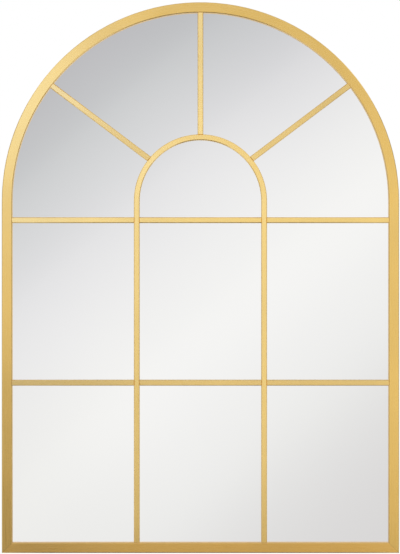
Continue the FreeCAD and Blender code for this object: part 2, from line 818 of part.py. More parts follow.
def make_parts():
    """Every piece of the mirror, each as one labelled object."""
    fan_ring = make_fan_ring()
    parts = [make_frame_hoop(), make_bottom_rail(), make_inner_hoop()]
    parts += [make_corner_key(name, side) for name, side in SIDES]
    parts.append(make_corner_key_screws())
    for row, height in CROSS_BAR_ROWS:
        parts += [make_cross_bar(row, height, name, start) for name, start in CROSS_BAR_STARTS]
    parts += [make_spoke(name, angle, fan_ring) for name, angle in SPOKES]
    parts.append(make_bar_tape(fan_ring))
    parts.append(make_pack_sheet("mirror_glass", "derived.glass_back", "sizes.glass_thickness"))
    parts.append(make_foam_tape())
    parts.append(make_backing_board())
    parts.append(make_pressure_springs())
    parts += [make_hanger_strap(name, side) for name, side in SIDES]
    parts += [make_hanger_ring(name, side) for name, side in SIDES]
    parts.append(make_hanger_screws())
    return parts


def check(parts):
    """Stops if any object failed or any piece has no valid shape."""
    failed = [item.Name for item in doc.Objects if {"Invalid", "Error"} & set(item.State)]
    failed += [part.Label for part in parts if part.Shape.isNull() or not part.Shape.isValid()]
    if failed:
        raise RuntimeError(f"failed: {', '.join(failed)}")


mirror_parts = make_parts()
doc.recompute()
check(mirror_parts)
os.makedirs("parts", exist_ok=True)
for part in mirror_parts:
    part.Shape.exportStep(f"parts/{part.Label}.step")
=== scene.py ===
"""Looks of the arched window-pane wall mirror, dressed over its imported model, in metres.

The gold channel and bars, the glass, the board and the flat hardware keep the model's own shapes and get
procedural finishes. The D-rings' round wire and the screws are modelled here in full.
"""

import json
import math

import bmesh
import bpy
from mathutils import Matrix, Vector


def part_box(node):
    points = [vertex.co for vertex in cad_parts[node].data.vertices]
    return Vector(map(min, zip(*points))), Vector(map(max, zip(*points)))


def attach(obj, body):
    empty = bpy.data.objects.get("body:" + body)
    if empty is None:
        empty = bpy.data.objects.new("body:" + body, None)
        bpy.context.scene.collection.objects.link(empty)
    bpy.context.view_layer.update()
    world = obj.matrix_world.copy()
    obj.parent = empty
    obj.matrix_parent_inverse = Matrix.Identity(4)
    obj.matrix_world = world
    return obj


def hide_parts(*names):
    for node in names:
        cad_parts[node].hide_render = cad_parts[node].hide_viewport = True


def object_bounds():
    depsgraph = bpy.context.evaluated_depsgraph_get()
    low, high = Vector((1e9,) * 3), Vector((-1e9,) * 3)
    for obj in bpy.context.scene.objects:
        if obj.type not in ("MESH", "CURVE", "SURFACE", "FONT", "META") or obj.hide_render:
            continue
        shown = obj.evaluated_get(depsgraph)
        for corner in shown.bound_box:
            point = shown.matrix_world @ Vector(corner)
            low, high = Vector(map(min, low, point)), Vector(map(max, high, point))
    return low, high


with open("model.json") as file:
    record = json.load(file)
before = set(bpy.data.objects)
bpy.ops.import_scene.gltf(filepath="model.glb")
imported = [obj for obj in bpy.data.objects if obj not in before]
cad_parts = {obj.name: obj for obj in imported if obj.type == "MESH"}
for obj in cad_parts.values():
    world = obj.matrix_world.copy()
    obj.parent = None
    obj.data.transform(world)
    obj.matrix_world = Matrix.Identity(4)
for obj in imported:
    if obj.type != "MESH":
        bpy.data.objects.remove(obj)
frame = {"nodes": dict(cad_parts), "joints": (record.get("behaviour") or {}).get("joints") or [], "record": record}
cad_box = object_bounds()

MM = 0.001
NODES = frame["nodes"]
SLOT_OF_NODE = {part["node"]: part["material_slot"] for part in frame["record"]["subparts"]}
LOW, HIGH = cad_box
WIDTH = HIGH.x - LOW.x
HEIGHT = HIGH.z - LOW.z
FRONT = LOW.y
MIDDLE = HEIGHT / 2
ARCH_RADIUS = WIDTH / 2
SPRING_LINE = HEIGHT - ARCH_RADIUS

# Where the mirror's edges lie in the photograph, in its pixels
IMAGE_WIDTH = 400
IMAGE_HEIGHT = 554
LEFT_EDGE_PIXEL = 1.7
RIGHT_EDGE_PIXEL = 399.2
TOP_EDGE_PIXEL = 2.2
BOTTOM_EDGE_PIXEL = 553.0
# The camera's distance from the front in metres, and its sensor's height in millimetres
CAMERA_DISTANCE = 3.0
SENSOR_HEIGHT = 24.0


class Graph:
    """A short way to write a node tree."""

    def __init__(self, tree):
        self.tree = tree
        tree.nodes.clear()

    def join(self, value, socket):
        if isinstance(value, bpy.types.NodeSocket):
            self.tree.links.new(value, socket)
        else:
            socket.default_value = value

    def add(self, kind, inputs=None, **settings):
        node = self.tree.nodes.new(f"ShaderNode{kind}")
        for name, setting in settings.items():
            setattr(node, name, setting)
        for name, value in (inputs or {}).items():
            self.join(value, node.inputs[name])
        return node

    def math(self, operation, *values):
        return self.add("Math", dict(enumerate(values)), operation=operation).outputs[0]

    def vector(self, x, y, z):
        return self.add("CombineXYZ", {"X": x, "Y": y, "Z": z}).outputs[0]

    def scaled(self, *pairs):
        """A vector of three values, each times its own scale."""
        return self.vector(*(self.math("MULTIPLY", value, scale) for value, scale in pairs))

    def vector_math(self, operation, *vectors):
        return self.add("VectorMath", dict(enumerate(vectors)), operation=operation).outputs["Vector"]

    def length(self, vector):
        return self.add("VectorMath", {0: vector}, operation="LENGTH").outputs["Value"]

    def spread(self, value, low, high, start=0.0, end=1.0, smooth=False):
        """Maps start...end of a value to low...high, and holds it there beyond."""
        inputs = {"Value": value, "From Min": start, "From Max": end, "To Min": low, "To Max": high}
        kind = "SMOOTHSTEP" if smooth else "LINEAR"
        return self.add("MapRange", inputs, interpolation_type=kind).outputs["Result"]

    def mix(self, share, first, second, blend="MIX"):
        """Mixes two colours."""
        node = self.add("Mix", data_type="RGBA", blend_type=blend)
        for index, value in ((0, share), (6, first), (7, second)):
            self.join(value, node.inputs[index])
        return node.outputs[2]

    def noise(self, place, scale, detail=2.0, roughness=0.5):
        inputs = {"Vector": place, "Scale": scale, "Detail": detail, "Roughness": roughness}
        return self.add("TexNoise", inputs).outputs[0]

    def cells(self, place, scale):
        return self.add("TexVoronoi", {"Vector": place, "Scale": scale})

    def place(self):
        """Positions in the piece's own space, which moves with it."""
        return self.add("TexCoord").outputs["Object"]

    def place_parts(self):
        return self.add("SeparateXYZ", {0: self.place()}).outputs[:3]

    def facing(self):
        """How far the surface faces the wall side: 1 straight back, -1 straight to the front."""
        return self.add("SeparateXYZ", {0: self.add("TexCoord").outputs["Normal"]}).outputs[1]

    def bump(self, height, strength, distance):
        inputs = {"Height": height, "Strength": strength, "Distance": distance}
        return self.add("Bump", inputs).outputs[0]

    def surface(self, **sockets):
        """Ends the tree in one Principled surface; underscores in the names stand for spaces."""
        inputs = {name.replace("_", " "): value for name, value in sockets.items()}
        shader = self.add("BsdfPrincipled", inputs)
        self.add("OutputMaterial", {"Surface": shader.outputs[0]})


def new_material(name):
    material = bpy.data.materials.new(name)
    material.use_nodes = True
    return material, Graph(material.node_tree)


def colour(red, green, blue):
    return (red, green, blue, 1.0)


# The range in which most values of a noise lie
NOISE_RANGE = (0.3, 0.7)

# Gold finish

# One gold in lit and shaded copies, as painted light and shade: the frame's own gold, a slightly different copy
# for the rail, a lighter copy for the upper bars, the inner hoop and the middle spoke, and a deeper one for the
# lower bars and slanted spokes
FRAME_GOLD = colour(0.79, 0.52, 0.14)
PAINTED_LIT_RAIL_GOLD = colour(0.82, 0.51, 0.13)
PAINTED_LIT_BAR_GOLD = colour(0.89, 0.64, 0.22)
PAINTED_SHADED_BAR_GOLD = colour(0.80, 0.57, 0.20)
# Noise steps to the metre across and along the brushed lines, their relief,
# and the paler gold painted on them as glints
BRUSH_LINES = 2600
BRUSH_RUN = 14
BRUSH_RELIEF = 0.12
BRUSH_DEPTH = 0.03 * MM
GLINT_GOLD = colour(1.0, 0.90, 0.62)
GLINT_SHARE = 0.10
GLINT_RANGE = (0.35, 0.75)
GOLD_ROUGHNESS = (0.24, 0.36)
# How far the brushing draws highlights out across a bar, and how far that direction leans back,
# so that it also lies across the bar's sides and chamfers
BRUSH_STRETCH = 0.4
STRETCH_LEAN = (0.0, 0.3, 0.0)
# The slow drift of tone: where it starts in its noise, its scale,
# and its darkest and lightest shares of the gold
DRIFT_START = (2.3, 9.2, 3.8)
DRIFT_SCALE = 7.0
DRIFT_TONES = (0.93, 1.05)
# Chamfers are polished and carry a painted highlight of paler gold: how far they face back or front, how that
# falls off, and the gold of that painted highlight
CHAMFER_FACING = math.cos(math.radians(45))
CHAMFER_FALL = (0.05, 0.2)
CHAMFER_HIGHLIGHT_GOLD = colour(0.98, 0.82, 0.48)
CHAMFER_HIGHLIGHT_SHARE = 0.25
CHAMFER_POLISH = 0.05
# The hairline at the mitres: half widths of its core and of all of it, how high it goes, and its dark
MITRE_CORE = 0.10 * MM
MITRE_HAIRLINE = 0.25 * MM
MITRE_TOP = 20 * MM
MITRE_DARK = colour(0.10, 0.06, 0.02)
MITRE_SHARE = 0.8


def hoop_brush(graph):
    """Places along and across a bar that runs up, round the arch and down again, and the way across."""
    x, _, z = graph.place_parts()
    side = graph.math("ABSOLUTE", x)
    rise = graph.math("MAXIMUM", graph.math("SUBTRACT", z, SPRING_LINE), 0.0)
    turned = graph.math("ARCTAN2", rise, side)
    along = graph.math("MULTIPLY_ADD", turned, ARCH_RADIUS, graph.math("MINIMUM", z, SPRING_LINE))
    across = graph.math("SQRT", graph.math("MULTIPLY_ADD", side, side, graph.math("MULTIPLY", rise, rise)))
    return along, across, graph.vector(x, 0.0, rise)


def level_brush(graph):
    """The same for a bar that lies level."""
    x, _, z = graph.place_parts()
    return x, z, graph.vector(0.0, 0.0, 1.0)


def spoke_brush(graph):
    """The same for a bar that points at the arch's middle."""
    along, across, outward = hoop_brush(graph)
    return across, along, graph.vector_math("CROSS_PRODUCT", outward, (0.0, 1.0, 0.0))


def mitre_line(graph):
    """1 on the hairline where the mitred ends of the stiles and the rail meet."""
    x, _, z = graph.place_parts()
    off = graph.math("SUBTRACT", graph.math("SUBTRACT", ARCH_RADIUS, graph.math("ABSOLUTE", x)), z)
    line = graph.spread(graph.math("ABSOLUTE", off), 1.0, 0.0, MITRE_CORE, MITRE_HAIRLINE)
    return graph.math("MULTIPLY", line, graph.math("LESS_THAN", z, MITRE_TOP))


def gold(name, base, brush):
    """Satin brushed gold: fine lines along the bar with painted glints, a slow drift of tone, polished edges with
    a painted highlight, dark mitres.
    """
    material, graph = new_material(name)
    along, across, aside = brush(graph)
    depth = graph.place_parts()[1]
    lines_place = graph.scaled((along, BRUSH_RUN), (across, BRUSH_LINES), (depth, BRUSH_LINES))
    lines = graph.noise(lines_place, scale=1.0, detail=3.0, roughness=0.6)
    drift = graph.noise(graph.vector_math("ADD", graph.place(), DRIFT_START), DRIFT_SCALE, detail=3.0)
    off_chamfer = graph.math("SUBTRACT", graph.math("ABSOLUTE", graph.facing()), CHAMFER_FACING)
    chamfer = graph.spread(graph.math("ABSOLUTE", off_chamfer), 1.0, 0.0, *CHAMFER_FALL)
    dark, light = (colour(*(channel * share for channel in base[:3])) for share in DRIFT_TONES)
    tone = graph.mix(graph.spread(drift, 0.0, 1.0, *NOISE_RANGE), dark, light)
    # Painted glints: a paler gold on the brushed lines
    tone = graph.mix(graph.spread(lines, 0.0, GLINT_SHARE, *GLINT_RANGE), tone, GLINT_GOLD)
    # Painted highlight: a paler gold on the chamfers, whose polish is the roughness below
    tone = graph.mix(graph.math("MULTIPLY", chamfer, CHAMFER_HIGHLIGHT_SHARE), tone, CHAMFER_HIGHLIGHT_GOLD)
    tone = graph.mix(graph.math("MULTIPLY", mitre_line(graph), MITRE_SHARE), tone, MITRE_DARK)
    roughness = graph.spread(lines, *GOLD_ROUGHNESS, *NOISE_RANGE)
    graph.surface(
        Base_Color=tone,
        Metallic=1.0,
        Roughness=graph.math("MULTIPLY_ADD", chamfer, -CHAMFER_POLISH, roughness),
        Anisotropic=BRUSH_STRETCH,
        Tangent=graph.vector_math("ADD", graph.vector_math("NORMALIZE", aside), STRETCH_LEAN),
        Normal=graph.bump(lines, BRUSH_RELIEF, BRUSH_DEPTH),
    )
    return material


# Glass

SILVERS = (colour(0.930, 0.928, 0.928), colour(0.938, 0.935, 0.932))
CUT_GREENS = (colour(0.20, 0.36, 0.30), colour(0.33, 0.52, 0.45))
PAINT_GREYS = (colour(0.30, 0.32, 0.33), colour(0.38, 0.40, 0.41))
CUT_ROUGHNESS = 0.15
PAINT_ROUGHNESS = 0.60
# How far a surface has to face front or back to count as the glass's front or back
GLASS_FACING = 0.5


def silvered_glass():
    """A second-surface mirror: bright in front, green at the cut edge, painted grey behind."""
    material, graph = new_material("silvered_glass")
    place = graph.place()
    facing = graph.facing()
    front = graph.math("LESS_THAN", facing, -GLASS_FACING)
    back = graph.math("GREATER_THAN", facing, GLASS_FACING)
    haze = graph.noise(place, scale=5.0)
    silver = graph.mix(graph.spread(haze, 0.0, 1.0, *NOISE_RANGE), *SILVERS)
    green = graph.mix(graph.noise(place, scale=300.0), *CUT_GREENS)
    paint = graph.mix(graph.noise(place, scale=90.0, detail=4.0), *PAINT_GREYS)
    dull = graph.spread(back, CUT_ROUGHNESS, PAINT_ROUGHNESS)
    ripple = graph.noise(place, scale=3.0, detail=1.0)
    graph.surface(
        Base_Color=graph.mix(front, graph.mix(back, green, paint), silver),
        Metallic=front,
        Roughness=graph.math("MULTIPLY", dull, graph.math("SUBTRACT", 1.0, front)),
        Normal=graph.bump(ripple, strength=0.02, distance=0.02 * MM),
    )
    return material


# Board, foam and tape

BOARD_BROWNS = (colour(0.385, 0.250, 0.146), colour(0.415, 0.274, 0.163))
MOTTLE_BROWN = colour(0.30, 0.185, 0.103)
FIBRE_BROWN = colour(0.54, 0.39, 0.25)
FLECK_BROWN = colour(0.16, 0.09, 0.05)
# The ways the pressed fibres lie, in degrees, and noise steps to the metre along and across them
FIBRE_ANGLES = (8, 47, 83, 121, 158)
FIBRE_RUN = 240
FIBRE_LINES = 1700
FOAM_GREYS = (colour(0.62, 0.62, 0.60), colour(0.84, 0.84, 0.82))
FOAM_CELL_RANGE = (0.1, 0.6)
TAPE_GREYS = (colour(0.07, 0.07, 0.07), colour(0.16, 0.16, 0.16))


def pressed_fibres(graph):
    """Fine fibres that lie in several directions, as the highest of one noise for each."""
    x, y, z = graph.place_parts()
    fibres = 0.0
    for angle in FIBRE_ANGLES:
        cosine = math.cos(math.radians(angle))
        sine = math.sin(math.radians(angle))
        along = graph.math("MULTIPLY_ADD", x, cosine, graph.math("MULTIPLY", z, sine))
        across = graph.math("MULTIPLY_ADD", x, -sine, graph.math("MULTIPLY", z, cosine))
        lay = graph.vector(
            graph.math("MULTIPLY", along, FIBRE_RUN),
            graph.math("MULTIPLY_ADD", y, FIBRE_LINES, angle),
            graph.math("MULTIPLY", across, FIBRE_LINES),
        )
        fibres = graph.math("MAXIMUM", graph.noise(lay, scale=1.0, detail=3.0), fibres)
    return fibres


def fibreboard():
    """Raw board: pressed fibres, a mottled brown and a few dark flecks."""
    material, graph = new_material("fibreboard")
    place = graph.place()
    fibres = pressed_fibres(graph)
    drift = graph.noise(place, scale=4.0, detail=3.0, roughness=0.6)
    mottle = graph.noise(place, scale=260.0, detail=4.0, roughness=0.7)
    tone = graph.mix(graph.spread(drift, 0.0, 1.0, *NOISE_RANGE), *BOARD_BROWNS)
    tone = graph.mix(graph.spread(mottle, 0.0, 0.5, start=0.35, end=0.7), tone, MOTTLE_BROWN)
    tone = graph.mix(graph.spread(fibres, 0.0, 0.4, start=0.58, end=0.78), tone, FIBRE_BROWN)
    cells = graph.cells(place, scale=260.0).outputs["Distance"]
    fleck = graph.spread(cells, 1.0, 0.0, start=0.05, end=0.13)
    chosen = graph.spread(graph.noise(place, scale=40.0), 0.0, 0.55, start=0.52, end=0.60)
    graph.surface(
        Base_Color=graph.mix(graph.math("MULTIPLY", fleck, chosen), tone, FLECK_BROWN),
        Roughness=graph.spread(fibres, 0.88, 0.70, start=0.5, end=0.8),
        Normal=graph.bump(fibres, strength=0.4, distance=0.06 * MM),
    )
    return material


def foam():
    """Closed-cell foam: pale, with small round cells."""
    material, graph = new_material("foam")
    cells = graph.cells(graph.place(), scale=1400.0).outputs["Distance"]
    graph.surface(
        Base_Color=graph.mix(graph.spread(cells, 0.0, 1.0, *FOAM_CELL_RANGE), *FOAM_GREYS),
        Roughness=graph.spread(cells, 0.75, 0.95, *FOAM_CELL_RANGE),
        Normal=graph.bump(cells, strength=0.6, distance=0.15 * MM),
    )
    return material


def mounting_tape():
    """Thin dark tape with a fine, slightly shiny grain."""
    material, graph = new_material("mounting_tape")
    grain = graph.noise(graph.place(), scale=1800.0, detail=3.0)
    graph.surface(
        Base_Color=graph.mix(grain, *TAPE_GREYS),
        Roughness=graph.spread(grain, 0.5, 0.75, *NOISE_RANGE),
        Normal=graph.bump(grain, strength=0.3, distance=0.05 * MM),
    )
    return material


# Steel

ZINC_GREYS = (colour(0.60, 0.62, 0.645), colour(0.69, 0.70, 0.71))
ZINC_BLOOM = colour(0.74, 0.69, 0.56)
ZINC_RUBBED = colour(0.80, 0.81, 0.82)
# Noise steps to the metre across and along the rub lines, and what they add to relief and roughness
RUB_LINES = 2200
RUB_RUN = 120
RUB_RELIEF = 0.6
RUB_ROUGHNESS = 0.12
SPRING_GREYS = (colour(0.36, 0.38, 0.42), colour(0.50, 0.50, 0.50))
SPRING_STRAW = colour(0.52, 0.44, 0.31)


def zinc_steel():
    """Zinc plate: pale blue-grey with faint crystal patches, rub lines and a yellowed bloom."""
    material, graph = new_material("zinc_steel")
    place = graph.place()
    x, y, z = graph.place_parts()
    patch = graph.add("SeparateColor", {0: graph.cells(place, scale=420.0).outputs["Color"]}).outputs[0]
    cloud = graph.noise(place, scale=160.0, detail=4.0, roughness=0.6)
    rubs_place = graph.scaled((x, RUB_LINES), (y, RUB_LINES), (z, RUB_RUN))
    rubs = graph.noise(rubs_place, scale=1.0, detail=3.0, roughness=0.6)
    tone = graph.mix(patch, *ZINC_GREYS)
    tone = graph.mix(graph.spread(cloud, 0.0, 0.35, start=0.45, end=0.7), tone, ZINC_BLOOM)
    tone = graph.mix(graph.spread(rubs, 0.0, 0.5, start=0.55, end=0.75), tone, ZINC_RUBBED)
    grain = graph.math("MULTIPLY_ADD", rubs, RUB_RELIEF, graph.noise(place, scale=3500.0))
    dull = graph.spread(cloud, 0.22, 0.38, *NOISE_RANGE)
    graph.surface(
        Base_Color=tone,
        Metallic=1.0,
        Roughness=graph.math("MULTIPLY_ADD", rubs, RUB_ROUGHNESS, dull),
        Normal=graph.bump(grain, strength=0.25, distance=0.02 * MM),
    )
    return material


def spring_steel():
    """Bare rolled steel: dark, with patches of a straw heat tint."""
    material, graph = new_material("spring_steel")
    place = graph.place()
    cloud = graph.noise(place, scale=55.0, detail=4.0, roughness=0.6)
    straw = graph.noise(place, scale=28.0)
    roll = graph.noise(place, scale=2400.0, detail=3.0)
    tone = graph.mix(graph.spread(cloud, 0.0, 1.0, start=0.35, end=0.65), *SPRING_GREYS)
    tone = graph.mix(graph.spread(straw, 0.0, 0.5, start=0.52, end=0.68), tone, SPRING_STRAW)
    graph.surface(
        Base_Color=tone,
        Metallic=1.0,
        Roughness=graph.spread(roll, 0.28, 0.44, *NOISE_RANGE),
        Normal=graph.bump(roll, strength=0.2, distance=0.02 * MM),
    )
    return material


# Modelled hardware

# The D-rings: the wire's thickness, half the width of its line, the radius of its corners,
# the height at which the bow starts, and the lean towards the board
RING_WIRE = 3.0 * MM
RING_HALF = 11.5 * MM
RING_CORNER = 4.0 * MM
RING_SHOULDER = 6.0 * MM
RING_LEAN = math.radians(2.95)
# How finely arcs, the wire's round and turned screws are stepped, and the angle from which edges stay sharp
ARC_STEPS = 10
WIRE_STEPS = 6
TURN_STEPS = 32
SHARP_ANGLE = math.radians(35)
# Radii and heights of the hangers' screws, and how far below the ring's axis they sit
HANGER_SCREW_DROPS = (11.0 * MM, 29.0 * MM)
HANGER_HEAD = 3.25 * MM
HANGER_SHANK = 1.75 * MM
HANGER_HEAD_HEIGHT = 1.9 * MM
# Their pan heads: shares of the height at the top of the eased rim and at the brim, and the dome's roundness
HANGER_RIM_RISE = 0.08
HANGER_BRIM_RISE = 0.4
DOME_STEPS = 7
DOME_POWER = 0.6
# Radii and heights of the corner keys' screws, and where they sit from the mirror's corner
KEY_HEAD = 2.7 * MM
KEY_SHANK = 1.5 * MM
KEY_HEAD_HEIGHT = 1.2 * MM
KEY_RIM = 0.12 * MM
KEY_TIP = 1.05 * MM
KEY_TIP_RISE = 0.4 * MM
KEY_SCREW_RUN = 27.8 * MM
KEY_SCREW_LINE = 5.55 * MM
# The share of a head's radius to which its sharp edge is eased
HEAD_EASE = 0.97
# Cross recesses: their reach as shares of the heads' radii, the width of an arm as a share of the reach,
# the sizes of the tapered cutter below and above the head's top, their depth,
# and the turn from screw to screw
HANGER_RECESS = 0.55
KEY_RECESS = 0.6
RECESS_ARM = 0.24
RECESS_TAPER = (0.45, 1.5)
RECESS_DEPTH = 1.0 * MM
RECESS_TURN = math.radians(37)


def add_object(name, data):
    piece = bpy.data.objects.new(name, data)
    bpy.context.scene.collection.objects.link(piece)
    return piece


def finish_mesh(mesh):
    """Shades smooth between faces that meet gently."""
    mesh.shade_smooth()
    mesh.set_sharp_from_angle(angle=SHARP_ANGLE)


def arc(centre_x, centre_z, radius, start, end):
    """Points of an arc in degrees, without its last point."""
    points = []
    for step in range(ARC_STEPS):
        angle = math.radians(start + (end - start) * step / ARC_STEPS)
        points.append((centre_x + radius * math.cos(angle), centre_z + radius * math.sin(angle)))
    return points


def ring_outline():
    """The D-ring's wire line: a straight bar, two corners, short sides and a round bow."""
    inner = RING_HALF - RING_CORNER
    outline = arc(inner, RING_CORNER, RING_CORNER, -90, 0)
    outline += [(RING_HALF, RING_CORNER)]
    for quarter in (0, 90):
        outline += arc(0, RING_SHOULDER, RING_HALF, quarter, quarter + 90)
    outline += [(-RING_HALF, RING_SHOULDER)]
    outline += arc(-inner, RING_CORNER, RING_CORNER, 180, 270)
    outline += [(-inner, 0)]
    return outline


def make_ring(joint):
    """One D-ring of round wire on its hinge."""
    name = joint["child"]
    outline = ring_outline()
    curve = bpy.data.curves.new(f"{name}_line", "CURVE")
    curve.dimensions = "3D"
    curve.bevel_depth = RING_WIRE / 2
    curve.bevel_resolution = WIRE_STEPS
    spline = curve.splines.new("POLY")
    spline.points.add(len(outline) - 1)
    lean = Matrix.Rotation(RING_LEAN, 3, "X")
    for point, (x, z) in zip(spline.points, outline):
        point.co = (*(Vector(joint["pos_m"]) + lean @ Vector((x, 0, z))), 1)
    spline.use_cyclic_u = True
    line = add_object(f"{name}_line", curve)
    mesh = bpy.data.meshes.new_from_object(line.evaluated_get(bpy.context.evaluated_depsgraph_get()))
    bpy.data.objects.remove(line)
    finish_mesh(mesh)
    mesh.name = f"{name}_wire"
    piece = add_object(f"{name}_wire", mesh)
    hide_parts(f"hanger_{name}")
    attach(piece, name)
    return piece


def turned_mesh(profile):
    """Turns (radius, height) points about the Y axis into a closed solid; both ends lie on the axis."""
    solid = bmesh.new()
    rows = []
    for radius, height in profile:
        count = TURN_STEPS if radius > 0 else 1
        row = []
        for step in range(count):
            angle = 2 * math.pi * step / TURN_STEPS
            row.append(solid.verts.new((radius * math.cos(angle), height, radius * math.sin(angle))))
        rows.append(row)
    for lower, upper in zip(rows, rows[1:]):
        for step in range(TURN_STEPS):
            corners = [
                lower[step % len(lower)],
                lower[(step + 1) % len(lower)],
                upper[(step + 1) % len(upper)],
                upper[step % len(upper)],
            ]
            solid.faces.new(list(dict.fromkeys(corners)))
    bmesh.ops.recalc_face_normals(solid, faces=solid.faces)
    mesh = bpy.data.meshes.new("turned")
    solid.to_mesh(mesh)
    solid.free()
    return mesh


def cross_cutter(reach, top):
    """A tapered cross that cuts a drive recess into a head whose top lies at the given height."""
    cutter = bmesh.new()
    half = reach * RECESS_ARM
    outline = []
    for quarter in range(4):
        turn = Matrix.Rotation(quarter * math.pi / 2, 2)
        outline += [turn @ Vector(corner) for corner in ((half, half), (half, reach), (-half, reach))]
    rows = []
    for height, share in zip((top - RECESS_DEPTH, top + RECESS_DEPTH), RECESS_TAPER):
        rows.append([cutter.verts.new((x * share, height, z * share)) for x, z in outline])
    cutter.faces.new(rows[0])
    cutter.faces.new(rows[1])
    for index in range(len(outline)):
        after = (index + 1) % len(outline)
        cutter.faces.new((rows[0][index], rows[0][after], rows[1][after], rows[1][index]))
    bmesh.ops.recalc_face_normals(cutter, faces=cutter.faces)
    mesh = bpy.data.meshes.new("cross")
    cutter.to_mesh(mesh)
    cutter.free()
    return mesh


def recessed(mesh, reach, top):
    """The mesh with a cross recess cut into its head."""
    head = add_object("head_blank", mesh)
    cross = add_object("head_cross", cross_cutter(reach, top))
    cut = head.modifiers.new("recess", "BOOLEAN")
    cut.operation = "DIFFERENCE"
    cut.solver = "EXACT"
    cut.object = cross
    result = bpy.data.meshes.new_from_object(head.evaluated_get(bpy.context.evaluated_depsgraph_get()))
    bpy.data.objects.remove(head)
    bpy.data.objects.remove(cross)
    return result


def screw_set(node, blank, places):
    """Copies of one screw at (x, z) places, each turned a little further, as one piece for the node."""
    joined = bmesh.new()
    for index, (x, z) in enumerate(places):
        copy = blank.copy()
        copy.transform(Matrix.Translation((x, 0, z)) @ Matrix.Rotation(RECESS_TURN * (index + 1), 4, "Y"))
        joined.from_mesh(copy)
    mesh = bpy.data.meshes.new(f"{node}_drive")
    joined.to_mesh(mesh)
    joined.free()
    finish_mesh(mesh)
    piece = add_object(f"{node}_drive", mesh)
    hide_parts(node)
    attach(piece, "mirror")
    return piece


def make_hanger_screws(joints):
    """Pan-head screws: a rounded head with a drive recess, and a pointed shank in the board."""
    low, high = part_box("hanger_screws")
    seat = high.y - HANGER_HEAD_HEIGHT
    brim = seat + HANGER_HEAD_HEIGHT * HANGER_BRIM_RISE
    profile = [
        (0, low.y),
        (HANGER_SHANK, low.y + HANGER_SHANK),
        (HANGER_SHANK, seat),
        (HANGER_HEAD * HEAD_EASE, seat),
        (HANGER_HEAD, seat + HANGER_HEAD_HEIGHT * HANGER_RIM_RISE),
        (HANGER_HEAD, brim),
    ]
    for step in range(1, DOME_STEPS):
        angle = math.radians(90 * step / DOME_STEPS)
        rise = (high.y - brim) * math.sin(angle)
        profile.append((HANGER_HEAD * math.cos(angle) ** DOME_POWER, brim + rise))
    profile.append((0, high.y))
    blank = recessed(turned_mesh(profile), HANGER_HEAD * HANGER_RECESS, high.y)
    places = []
    for joint in joints:
        x, _, z = joint["pos_m"]
        places += [(x, z - drop) for drop in HANGER_SCREW_DROPS]
    return screw_set("hanger_screws", blank, places)


def make_key_screws():
    """Countersunk screws: a flat head with a drive recess, just below the flange."""
    low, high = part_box("corner_key_screws")
    profile = (
        (0, low.y),
        (KEY_TIP, low.y),
        (KEY_SHANK, low.y + KEY_TIP_RISE),
        (KEY_SHANK, high.y - KEY_HEAD_HEIGHT),
        (KEY_HEAD, high.y - KEY_RIM),
        (KEY_HEAD * HEAD_EASE, high.y),
        (0, high.y),
    )
    blank = recessed(turned_mesh(profile), KEY_HEAD * KEY_RECESS, high.y)
    places = []
    for side in (-1, 1):
        places.append((side * (ARCH_RADIUS - KEY_SCREW_LINE), KEY_SCREW_RUN))
        places.append((side * (ARCH_RADIUS - KEY_SCREW_RUN), KEY_SCREW_LINE))
    return screw_set("corner_key_screws", blank, places)


# Finishes go onto the nodes by their slots


def gold_of(node):
    """The gold finish of a bar, with brushing that follows it; lower bars and slanted spokes get a deeper copy of
    the gold as painted shade, and upper bars, the inner hoop and the middle spoke a lighter one as painted light.
    """
    if node == "frame_hoop":
        base, brush = FRAME_GOLD, hoop_brush
    elif node == "inner_hoop":
        base, brush = PAINTED_LIT_BAR_GOLD, hoop_brush
    elif node == "spoke_middle":
        base, brush = PAINTED_LIT_BAR_GOLD, spoke_brush
    elif node.startswith("spoke"):
        base, brush = PAINTED_SHADED_BAR_GOLD, spoke_brush
    elif node == "bottom_rail":
        base, brush = PAINTED_LIT_RAIL_GOLD, level_brush
    elif node.startswith("upper"):
        base, brush = PAINTED_LIT_BAR_GOLD, level_brush
    else:
        base, brush = PAINTED_SHADED_BAR_GOLD, level_brush
    return gold(f"{node}_gold", base, brush)


def dress():
    """Gives every node its finish, and makes the pieces that replace nodes."""
    finishes = {
        "silvered_glass": silvered_glass(),
        "fibreboard": fibreboard(),
        "foam": foam(),
        "mounting_tape": mounting_tape(),
        "zinc_steel": zinc_steel(),
        "spring_steel": spring_steel(),
    }
    for name, node in NODES.items():
        slot = SLOT_OF_NODE[name]
        node.data.materials.clear()
        node.data.materials.append(gold_of(name) if slot == "gold_metal" else finishes[slot])
    joints = frame["joints"]
    for piece in [make_ring(joint) for joint in joints] + [make_hanger_screws(joints), make_key_screws()]:
        piece.data.materials.clear()
        piece.data.materials.append(finishes["zinc_steel"])


# Studio

# The sky's level on dull surfaces
SKY_LEVEL = 0.75
# The floor, and the shares of its radius between which it fades out
FLOOR_DROP = 1.0
FLOOR_RADIUS = 3.6
FLOOR_SIDES = 96
FLOOR_TONE = colour(0.86, 0.86, 0.86)
FLOOR_FADE = (0.45, 0.98)
# The shares of a stage sheet's half size between which it fades out
SHEET_FADE = (0.62, 0.98)
# The grey sweep that the glass shows: a wide glowing sheet that hangs in front and bends onto the floor, and
# paints the glass's grey reflection
SWEEP_DISTANCE = 3.3
SWEEP_HALF = 7.0
SWEEP_BEND = 0.45
SWEEP_LIFT = 0.02
# The diagonal along which its greys run: how steeply it falls to the right, where it starts and its length
SWEEP_FALL = math.radians(49)
SWEEP_START = -1.3
SWEEP_RUN = 2.6
